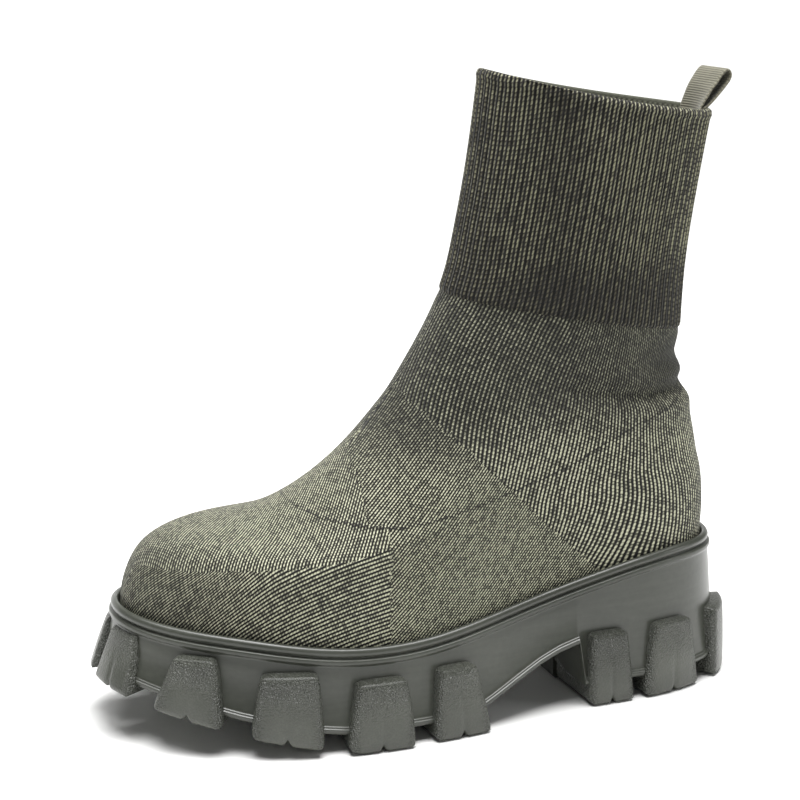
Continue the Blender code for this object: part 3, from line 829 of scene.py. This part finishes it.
def outside_stitches(levels, angles, base):
    """Stitch counts of each knit zone at each point of the outer skin, with where they apply.

    The grid is closed with one more column, so that the maps don't wrap.
    """
    closed = np.concatenate([base, base[:, :1]], axis=1)
    x, y, z = closed[..., 0], closed[..., 1], closed[..., 2]
    around = lengths_along(closed, 1)
    girth = around[:, -1:]
    from_back = np.minimum(around, girth - around)
    from_front = (girth / 2.0 - from_back)[:1]
    height = lengths_along(closed, 0)
    rise, ridge = heights_at_x(levels, x)

    lean = OPEN_LEAN * smooth_step(x, *OPEN_LEAN_X)
    open_rows = (from_back + lean * (z - OPEN_LEVEL_Z)) / OPEN_PITCH, z / OPEN_COURSE
    turned = np.linspace(0.0, 200.0, 401)
    slope = np.tan(np.radians(np.interp(turned, ROW_RUN, ROW_SLOPE)))
    swept = np.cumsum(slope) * (turned[1] - turned[0])
    front_share = smooth_step(x, *TOE_FRONT_X)
    run = (1.0 - front_share) * (TOE_X + TOE_TURN - x) + front_share * from_front
    climb = (1.0 - front_share) * rise + front_share * height
    toe_u = (climb - np.interp(run, turned, swept)) / (TOE_STRETCH * FINE_PITCH)
    top_u = (x * math.cos(TOP_TURN) + y * math.sin(TOP_TURN)) / FINE_PITCH
    top_v = (y * math.cos(TOP_TURN) - x * math.sin(TOP_TURN)) / FINE_PITCH
    rib_u = np.broadcast_to(RIB_WALES * np.arange(COLUMNS + 1) / RIB_COLUMNS, height.shape)
    rows = {
        "fine": diagonal_rows(rise, x),
        "open": open_rows,
        "past": diagonal_rows(2.0 * ridge - rise, x),
        "toe": (toe_u, run / FINE_PITCH),
        "top": (top_u, top_v),
        "rib": (rib_u, height / RIB_COURSE),
    }

    level_grid, angle_grid = np.meshgrid(levels, angles, indexing="ij")
    facing = upper_skin(level_grid, angle_grid, np.ones_like(level_grid))[..., 2] - base[..., 2]
    facing = np.concatenate([facing, facing[:, :1]], axis=1)
    front = np.argmin(np.abs(angles - math.pi))
    inner_side = np.arange(COLUMNS + 1)[None, :] >= front
    far, _ = line_distance(x, z, FASHION_LINE)
    toe = (x > MITRE_X) & ((far < 0.0) | (x > FASHION_LINE[-1][0]))
    is_open = z > OPEN_KNIT_FOOT[1] + OPEN_KNIT_RISE * (x - OPEN_KNIT_FOOT[0])
    top = ~is_open & (x > TOP_START) & (facing > np.where(toe, TOP_FACING, RIDGE_FACING))
    past = ~is_open & inner_side & (ridge - rise < RIDGE_BAND) & (x < RIDGE_END_X)
    zones = {"open": is_open, "past": past, "toe": toe, "top": top}
    return rows, zones, far, yarn_and_painted_shade(x, y, z)


def make_sock(plain, ribbed, inside):
    """The whole knit as one closed skin, with its stitch maps."""
    angles = even_angles()
    foot = np.linspace(0.0, RIB_START, FOOT_ROWS)
    levels = np.concatenate([foot, np.linspace(RIB_START, COLLAR, SHAFT_ROWS)[1:]])
    inner_levels = np.linspace(COLLAR, RIB_START, 14)
    inner_levels = np.concatenate([inner_levels, np.linspace(RIB_START, 0.0, 26)[1:]])
    base, outer, crown, inner = sock_skins(levels, inner_levels, angles)
    points = np.concatenate([outer, crown, inner])
    faces, corners = grid_faces(len(points), COLUMNS)
    last = (len(points) - 1) * COLUMNS
    for c in range(COLUMNS):
        d = (c + 1) % COLUMNS
        faces.append((last + c, last + d, d, c))

    # Each face takes all its stitch counts from the zone that its first corner lies in
    row, column = corners[..., 0], corners[..., 1]
    face_row, face_column = row[:, 0], column[:, 0]
    outer_rows = len(levels)
    at = np.minimum(row, outer_rows - 1), column
    face_at = np.minimum(face_row, outer_rows - 1), face_column
    rows, zones, far, shade = outside_stitches(levels, angles, base)
    shaft_face = face_row >= FOOT_ROWS - 1
    inside_face = face_row >= outer_rows + 1
    u, v = rows["fine"][0][at], rows["fine"][1][at]
    for zone in ("open", "past", "toe", "top", "rib"):
        here = shaft_face if zone == "rib" else zones[zone][face_at]
        u = np.where(here[:, None], rows[zone][0][at], u)
        v = np.where(here[:, None], rows[zone][1][at], v)
    crown_rise = np.clip(row - (outer_rows - 1), 0, len(crown) + 1) * CROWN_STITCHES
    v = np.where(shaft_face[:, None], v + crown_rise, v)
    inner_height = lengths_along(np.concatenate([inner, inner[:, :1]], axis=1), 0)
    inner_row = np.clip(row - outer_rows - len(crown), 0, len(inner_levels) - 1)
    u = np.where(inside_face[:, None], column / RIB_COLUMNS * INSIDE_WALES, u)
    v = np.where(inside_face[:, None], inner_height[inner_row, column] / INSIDE_COURSE, v)
    strength = LINE_STRENGTH * (~shaft_face[:, None]) * np.ones_like(u)
    bottom = np.zeros((COLUMNS * 4, 2))
    maps = {}
    for name, pair in (
        ("stitch", (u, v)),
        ("mark", (far[at], strength)),
        ("tone", (shade[at], column / RIB_COLUMNS)),
    ):
        maps[name] = np.concatenate([np.stack(pair, axis=-1).reshape(-1, 2), bottom])
    kinds = np.where(inside_face, 2, np.where(shaft_face, 1, 0))
    kinds = np.concatenate([kinds, np.full(COLUMNS, 2)])
    surfaces = (plain, ribbed, inside)
    return new_piece("sock", points.reshape(-1, 3), faces, surfaces, kinds, maps)


# The sole
SOLE_COLUMNS = 420
# out from the feather line and down from the bead's top, with the corner's radius
SIDE_TOP = (
    (0.45, 6.5, 0.3),
    (0.45, 1.6, 0.6),
    (0.95, 0.25, 0.7),
    (1.95, 0.0, 0.9),
    (3.3, 0.55, 0.9),
    (3.95, 2.0, 0.8),
    (3.55, 3.3, 0.4),
    (2.85, 3.75, 0.25),
    (3.0, 4.25, 0.25),
    (4.55, 4.6, 0.35),
    (4.75, 6.3, 0.35),
    (4.1, 6.95, 0.3),
    (3.75, 7.5, 0.5),
)
# Share of the way down the wall, and share of the way out to its foot
WALL_FLARE = (
    (0.18, 0.16),
    (0.36, 0.28),
    (0.54, 0.42),
    (0.72, 0.62),
    (0.87, 0.82),
)
WALL_ROUND = 1.5
WALL_INSET = 0.6
LIP_TOP = 4.4
# The lip at the wall's foot: out from it and up from the underside, with the corner's radius
LIP = (
    (-0.45, 4.0, 0.4),
    (0.25, 3.6, 0.2),
    (0.15, 3.1, 0.2),
    (0.95, 2.7, 0.25),
    (0.75, 1.1, 0.5),
    (-0.2, 0.35, 0.5),
    (-2.5, 0.0, 0.5),
)


def round_corners(line, radii):
    """Cut each inner corner of a section line with a short curve of three points."""
    out = [line[0]]
    for i in range(1, len(line) - 1):
        here = line[i]
        back, on = line[i - 1] - here, line[i + 1] - here
        back_len = np.linalg.norm(back, axis=-1, keepdims=True)
        on_len = np.linalg.norm(on, axis=-1, keepdims=True)
        a = here + back / back_len * np.minimum(radii[i], back_len * 0.45)
        b = here + on / on_len * np.minimum(radii[i], on_len * 0.45)
        for t in (0.0, 0.5, 1.0):
            out.append((1 - t) ** 2 * a + 2 * t * (1 - t) * here + t * t * b)
    out.append(line[-1])
    return out


def sole_angles():
    """Angles round the sole, with one each on the heel breast's two edges."""
    angles = np.linspace(0.0, math.pi, SOLE_COLUMNS // 2 + 1)
    x = HEEL_X + (TOE_X - HEEL_X) * (1.0 - np.cos(angles)) / 2.0
    for edge in (BREAST_X, BREAST_TOP_X):
        near = np.argmin(np.abs(x - edge))
        angles[near] = math.acos(1.0 - 2.0 * (edge - HEEL_X) / (TOE_X - HEEL_X))
    return np.concatenate([angles, 2.0 * math.pi - angles[-2:0:-1]])


def make_sole_body(material):
    angles = sole_angles()
    x, _ = feather_line(angles)
    rim = rim_height(x)
    base = base_height(x)
    foot = spline(WALL_FOOT, 1, x)
    line = [np.stack([out + 0.0 * x, rim - drop], axis=-1) for out, drop, _ in SIDE_TOP]
    radii = [radius for _, _, radius in SIDE_TOP]
    top_out, top_drop, _ = SIDE_TOP[-1]
    for down, flare in WALL_FLARE:
        z = (rim - top_drop) * (1.0 - down) + (base + LIP_TOP) * down
        line.append(np.stack([top_out * (1.0 - flare) + (foot - WALL_INSET) * flare, z], axis=-1))
        radii.append(WALL_ROUND)
    for out, rise, radius in LIP:
        line.append(np.stack([foot + out, base + rise], axis=-1))
        radii.append(radius)
    line = round_corners(line, radii)
    rings = []
    for ring in line:
        px, py = offset_line(angles, ring[:, 0])
        rings.append(np.stack([px, py, ring[:, 1]], axis=-1))
    points = np.concatenate(rings)
    faces = capped_faces(len(rings), len(angles))
    body = new_piece("sole_body", points, faces, (material,), sharp=50.0)
    face_out(body)
    return body


def lug_line_table(side):
    """Length along the lugs' line from the heel's back, for one side, and its angles."""
    angles = np.linspace(0.0, side * math.pi, 1200)
    x, y = offset_line(angles, LUG_LINE)
    lengths = np.concatenate([[0.0], np.cumsum(np.hypot(np.diff(x), np.diff(y)))])
    return lengths, angles


LUG_ACROSS = 45
LUG_UP = 29
EDGE_ROUND = 2.6
CORNER_PULL = 0.055
LUG_SHOULDER = 3.5
CREASE_DEPTH = 0.55
CREASE_HALF = 0.8
CROWN_DEPTH = 0.35


def lug_grid(row, side):
    """Points and faces of one lug with pillowed edges, and its map."""
    station, top_width, foot_width, lean, top, out_top, out_foot, length = row
    lengths, angles = lug_line_table(side)
    station = station * lengths[-1] / lug_line_table(1.0)[0][-1]
    a = np.sin(np.linspace(-0.5, 0.5, LUG_ACROSS) * math.pi)
    b = 0.5 + 0.5 * np.sin(np.linspace(-0.5, 0.5, LUG_UP) * math.pi)
    b, a = np.meshgrid(b, a, indexing="ij")
    up = 2.0 * b - 1.0
    pull = CORNER_PULL * np.abs(a) ** 5 * np.abs(up) ** 5
    sa, sb = a * (1.0 - pull * 1.1), 0.5 + 0.5 * up * (1.0 - pull * np.where(up < 0, 2.4, 1.2))
    half = (foot_width * (1.0 - sb) + top_width * sb) / 2.0
    s = station - lean * sb + sa * half
    angle = np.interp(s, lengths, angles)
    fx, _ = offset_line(angle, out_foot)
    foot_z = tread_height(fx)
    notch = SIPE_DEPTH * np.clip(1.0 - np.abs(sa * half) / SIPE_HALF, 0.0, 1.0)
    z = foot_z + notch * (1.0 - sb) ** 3 + (top - foot_z) * sb
    out = out_foot + (out_top - out_foot) * (z - foot_z[0]) / (top - foot_z[0])
    # Fall away within a rounding's width of the outline
    to_side = (1.0 - np.abs(a)) * half
    to_end = np.minimum(sb, 1.0 - sb) * (top - foot_z)
    drop = np.zeros_like(a)
    for far in (to_side, to_end):
        t = np.clip(1.0 - far / EDGE_ROUND, 0.0, 1.0)
        drop = np.hypot(drop, EDGE_ROUND * (1.0 - np.sqrt(1.0 - np.minimum(t, 0.995) ** 2)))
    crease = CREASE_DEPTH * np.exp(-((sa * half) / CREASE_HALF) ** 2)
    crease = crease * (1.0 - smooth_step(sb, 0.25, 0.85))
    crown = CROWN_DEPTH * (1.0 - a ** 2) * (1.0 - up ** 2)
    px, py = offset_line(angle, out - drop - crease + crown)
    face = np.stack([px, py, z], axis=-1)
    # Outline, root and deep rings
    rows, columns = a.shape
    loop = [(0, c) for c in range(columns)] + [(r, columns - 1) for r in range(1, rows)]
    loop += [(rows - 1, c) for c in range(columns - 2, -1, -1)]
    loop += [(r, 0) for r in range(rows - 2, 0, -1)]
    index = np.array([r * columns + c for r, c in loop])
    lr, lc = np.array([r for r, _ in loop]), np.array([c for _, c in loop])
    rings = []
    for reach in (LUG_SHOULDER, LUG_ROOT, None):
        if reach is None:
            ox, oy = offset_line(angle[lr, lc], out_foot - length)
            high = base_height(ox) + LUG_TOP_IN_SOLE
            oz = z[lr, lc] + (high - z[lr, lc]) * smooth_step(sb[lr, lc], 0.0, 1.0)
        else:
            ox, oy = offset_line(angle[lr, lc], np.minimum(reach, (out - drop)[lr, lc]))
            oz = z[lr, lc]
        rings.append(np.stack([ox, oy, oz], axis=-1))
    points = np.concatenate([face.reshape(-1, 3)] + rings)
    faces, corners = grid_faces(rows, columns, closed=False)
    at = corners[..., 0], corners[..., 1]
    maps = [np.stack([a[at], b[at]], axis=-1).reshape(-1, 2)]
    start = rows * columns
    count = len(loop)
    previous = index
    for ring in range(3):
        current = start + ring * count + np.arange(count)
        for i in range(count):
            j = (i + 1) % count
            faces.append((previous[j], previous[i], current[i], current[j]))
            value = [[a[loop[k]], b[loop[k]]] for k in (j, i, i, j)]
            maps.append(np.array(value))
        previous = current
    faces.append(tuple(previous[::-1]))
    maps.append(np.zeros((count, 2)))
    return points, [tuple(int(k) for k in f) for f in faces], np.concatenate(maps)


def make_lugs(material):
    """All lugs of a side in one piece, outer side first."""
    pieces = []
    for side, label in ((1.0, "outer"), (-1.0, "inner")):
        points, faces, maps = [], [], []
        for row in LUGS:
            first = sum(len(p) for p in points)
            lug_points, lug_faces, lug_map = lug_grid(row, side)
            points.append(lug_points)
            faces += [tuple(first + k for k in f) for f in lug_faces]
            maps.append(lug_map)
        piece = new_piece("lugs_" + label, np.concatenate(points), faces, (material,), None,
                          {"face": np.concatenate(maps)}, sharp=70.0)
        pieces.append(piece)
    return pieces


PAD_STEP = 1.5
PAD_BEVEL = 1.2
PAD_CORNER = 0.35
PAD_IN_SOLE = 3.0
GROOVE_PITCH = 12.0
GROOVE_DEPTH = 0.8


def make_pads(material):
    """Middle pads of the tread with bevelled edges and shallow cross grooves."""
    points, faces = [], []
    for start, end, half in PADS:
        xs = np.linspace(start, end, int((end - start) / PAD_STEP))
        profile = []
        for x in xs:
            near = min(x - start, end - x)
            from_groove = (x - start) % GROOVE_PITCH - GROOVE_PITCH / 2.0
            cut = GROOVE_DEPTH * math.exp(-from_groove ** 2 / 0.8)
            foot = float(tread_height(x)) + cut + max(0.0, PAD_BEVEL - near)
            top = float(base_height(x)) + PAD_IN_SOLE
            middle = float(middle_line(x))
            side = [
                (half, top),
                (half, foot + PAD_BEVEL),
                (half - PAD_CORNER, foot + PAD_CORNER),
                (half - PAD_BEVEL, foot),
            ]
            outline = [(-y, z) for y, z in side] + [(0.0, foot)] + side[::-1]
            profile.append([(x, middle + y, z) for y, z in outline])
        rings = np.array(profile)
        first = sum(len(p) for p in points)
        rows, columns = rings.shape[:2]
        quads, _ = grid_faces(rows, columns, True, first)
        faces += quads
        faces.append(tuple(first + c for c in range(columns)))
        faces.append(tuple(first + (rows - 1) * columns + c for c in range(columns)))
        points.append(rings.reshape(-1, 3))
    pads = new_piece("tread_pads", np.concatenate(points), faces, (material,), sharp=45.0)
    face_out(pads)
    return pads


# Insole and pull loop
# In from the feather line and up from the seat, round the insole's edge and over its crown
FOOTBED_EDGE = (
    (2.4, 0.15),
    (2.4, 2.2),
    (2.7, 2.8),
    (3.4, 3.1),
    (5.0, 3.15),
    (8.0, 3.05),
    (12.0, 2.9),
)
HEEL_CUP = 0.6


def make_footbed(material):
    """Insole: crowned across, with a rounded edge and a slight heel cup."""
    angles = np.linspace(0.0, 2.0 * math.pi, 193)[:-1]
    rings = []
    x, _ = feather_line(angles)
    seat = rim_height(x) - SEAT_DEPTH + INSOLE_CLEARANCE
    for inward, rise in FOOTBED_EDGE:
        px, py = offset_line(angles, -inward)
        near_edge = math.exp(-((inward - FOOTBED_EDGE[0][0]) / 3.0) ** 2)
        cup = HEEL_CUP * near_edge * (1.0 - smooth_step(x, 40.0, 110.0))
        rings.append(np.stack([px, py, seat + rise + cup * (rise > 1.0)], axis=-1))
    points = np.concatenate(rings)
    faces = capped_faces(len(rings), len(angles))
    flat = np.array([points[k][:2] for face in faces for k in face])
    bed = new_piece("footbed", points, faces, (material,), None, {"flat": flat}, sharp=60.0)
    face_out(bed)
    return bed


RIBBON_ACROSS = 21
RIBBON_POINTS = 120
RIBBON_CORD = 1.1
RIBBON_CORD_PLUMP = 0.12
RIBBON_EDGE_HALF = 0.12


def make_loop(material):
    """The ribbon along its course, held flat to the collar's inside and turned where it is free."""
    steps = np.linspace(0.0, len(RIBBON_COURSE) - 1.0, RIBBON_POINTS)
    rows = [(i, *row) for i, row in enumerate(RIBBON_COURSE)]
    forward = spline(rows, 1, steps)
    up = spline(rows, 2, steps)
    run = np.gradient(forward), np.gradient(up)
    size = np.hypot(*run)
    normal_x, normal_z = run[1] / size, -run[0] / size
    length = np.concatenate([[0.0], np.cumsum(np.hypot(np.diff(forward), np.diff(up)))])
    levels = np.linspace(COLLAR - 1.0, COLLAR, 21)
    back = upper_skin(levels, 0.0 * levels, 0.0 * levels - KNIT_WALL)
    edge_x, _, edge_z = back[-1]
    wall_x = np.interp(edge_z + up, back[:, 2], back[:, 0])
    spread = np.linspace(-0.9, 0.9, 181)
    wall = upper_skin(COLLAR + 0.0 * spread, spread, 0.0 * spread - KNIT_WALL)
    across = np.sin(np.linspace(-0.5, 0.5, RIBBON_ACROSS) * math.pi) * RIBBON_WIDTH / 2.0
    half = RIBBON_WIDTH / 2.0
    thick = RIBBON_THICKNESS / 2.0 * (1.0 - np.clip(np.abs(across) / half, 0, 1) ** 16) ** 0.5
    is_cord = np.abs(across) > half - RIBBON_CORD
    thick = np.maximum(thick, RIBBON_EDGE_HALF) * (1.0 + RIBBON_CORD_PLUMP * is_cord)
    bow = np.interp(across, wall[:, 1], wall[:, 0]) - edge_x
    rings = []
    for i in range(RIBBON_POINTS):
        hold = np.clip(1.0 - up[i] / RIBBON_FREE, 0.0, 1.0)
        turn = (1.0 - hold) * math.tan(RIBBON_TURN) * across
        ring = []
        for sign, order in ((1.0, slice(None)), (-1.0, slice(-2, 0, -1))):
            x = wall_x[i] + forward[i] + hold * bow + turn + sign * normal_x[i] * thick
            z = edge_z + up[i] + sign * normal_z[i] * thick
            ring.append(np.stack([x, across, z], axis=-1)[order])
        rings.append(np.concatenate(ring))
    points = np.array(rings)
    count, columns = points.shape[:2]
    faces, corners = grid_faces(count, columns)
    place = np.concatenate([across, across[-2:0:-1], across[:1]])
    maps = np.stack([place[corners[..., 1]], length[corners[..., 0]]], axis=-1).reshape(-1, 2)
    caps = np.zeros((2 * columns, 2))
    faces.append(tuple(range(columns)))
    faces.append(tuple((count - 1) * columns + c for c in range(columns)))
    loop = new_piece("ribbon_loop", points.reshape(-1, 3), faces, (material,), None,
                     {"ribbon": np.concatenate([maps, caps])}, sharp=60.0)
    return loop


# Make the pieces and hang them on the frame
plain_knit = knit_paint("knit_plain", YARN, YARN_PALE_AND_HIGHLIGHT, chevron=0.35, groove_shade=0.0)
rib_knit = knit_paint("knit_rib", RIB_YARN_AND_SHADE, RIB_PALE_AND_PAINTED_LIGHT, chevron=0.25, groove_shade=0.85)
knit_inside = lining_paint()
moulded = sole_paint()
pebbled = lug_paint()

sock = make_sock(plain_knit, rib_knit, knit_inside)
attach(sock, "root")
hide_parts("upper")
sole_pieces = [make_sole_body(moulded)] + make_lugs(pebbled) + [make_pads(moulded)]
for piece in sole_pieces:
    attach(piece, "root")
    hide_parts("sole")
footbed = make_footbed(footbed_paint())
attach(footbed, "root")
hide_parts("insole")
pull_loop = make_loop(ribbon_paint())
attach(pull_loop, "root")
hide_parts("pull_loop")


# Floor, lights and camera, in metres
FLOOR_REACH = 4.5
FLOOR_BACK = -1.2
SWEEP_RADIUS = 0.9
FLOOR_LOW = (0.86, 0.86, 0.85)
FLOOR_HIGH = (0.89, 0.89, 0.88)
WORLD_STRENGTH = 0.09
# The photograph's camera: place in the boot's millimetres, view, up, and focal length in widths
CAMERA_PLACE = (428.62, 821.857, 351.544)
CAMERA_VIEW = (-0.31537315, -0.91683301, -0.24486118)
CAMERA_UP = (-0.07941565, -0.23162515, 0.96955812)
FOCAL_WIDTHS = 2103.36 / 800.0
SENSOR = 36.0


def make_floor():
    """A flat floor that sweeps up behind the boot in a quarter round."""
    mesh = bpy.data.meshes.new("floor")
    rows = []
    for t in np.linspace(0.0, 1.0, 12, endpoint=False):
        rows.append((FLOOR_REACH + (FLOOR_BACK - FLOOR_REACH) * t, 0.0))
    for turn in np.linspace(0.0, math.pi / 2.0, 13):
        up = SWEEP_RADIUS * (1.0 - math.cos(turn))
        rows.append((FLOOR_BACK - SWEEP_RADIUS * math.sin(turn), up))
    points = []
    across = np.linspace(-FLOOR_REACH, FLOOR_REACH, 9)
    for y, z in rows:
        points += [(x, y, z) for x in across]
    faces, _ = grid_faces(len(rows), len(across), closed=False)
    mesh.from_pydata(points, [], faces)
    mesh.shade_smooth()
    paint = Paint("floor_pale", 0.9)
    speck = paint.noise(3.0, 2.0)
    mesh.materials.append(paint.finish(paint.mix(speck, FLOOR_LOW, FLOOR_HIGH), None))
    floor = bpy.data.objects.new("floor", mesh)
    bpy.context.collection.objects.link(floor)


def add_light(name, place, size, power, target=(0.0, 0.0, 0.1)):
    lamp = bpy.data.lights.new(name, "AREA")
    lamp.shape = "RECTANGLE"
    lamp.size, lamp.size_y = size
    lamp.energy = power
    light = bpy.data.objects.new(name, lamp)
    light.location = place
    light.rotation_euler = (Vector(target) - Vector(place)).to_track_quat("-Z", "Y").to_euler()
    bpy.context.collection.objects.link(light)


def set_camera():
    """The photograph's camera, found from the boot's outline."""
    view = Vector(CAMERA_VIEW).normalized()
    right = view.cross(Vector(CAMERA_UP)).normalized()
    turn = Matrix((right, right.cross(view), -view)).transposed().to_4x4()
    turn.translation = (Vector(CAMERA_PLACE) - Vector(MIDDLE)) * MM
    lens = bpy.data.cameras.new("camera")
    lens.sensor_width = SENSOR
    lens.lens = FOCAL_WIDTHS * SENSOR
    lens.clip_start = 0.02
    lens.clip_end = 50.0
    camera = bpy.data.objects.new("camera", lens)
    camera.matrix_world = turn
    bpy.context.collection.objects.link(camera)
    bpy.context.scene.camera = camera


def set_world():
    world = bpy.data.worlds.new("studio")
    world.use_nodes = True
    background = world.node_tree.nodes["Background"]
    background.inputs["Color"].default_value = (1.0, 1.0, 1.0, 1.0)
    background.inputs["Strength"].default_value = WORLD_STRENGTH
    bpy.context.scene.world = world
    bpy.context.scene.view_settings.view_transform = "Standard"


make_floor()
add_light("top", (0.0, 0.14, 1.25), (0.9, 0.7), 26.0, (0.03, 0.0, 0.05))
add_light("front", (0.1, 1.6, 0.7), (0.8, 0.6), 1.1)
add_light("heel", (-1.2, 0.6, 0.45), (0.5, 0.5), 3.0, (-0.1, 0.0, 0.08))
add_light("backdrop", (0.0, -0.5, 1.9), (2.6, 0.6), 60.0, (0.0, -1.9, 0.5))
set_world()
set_camera()
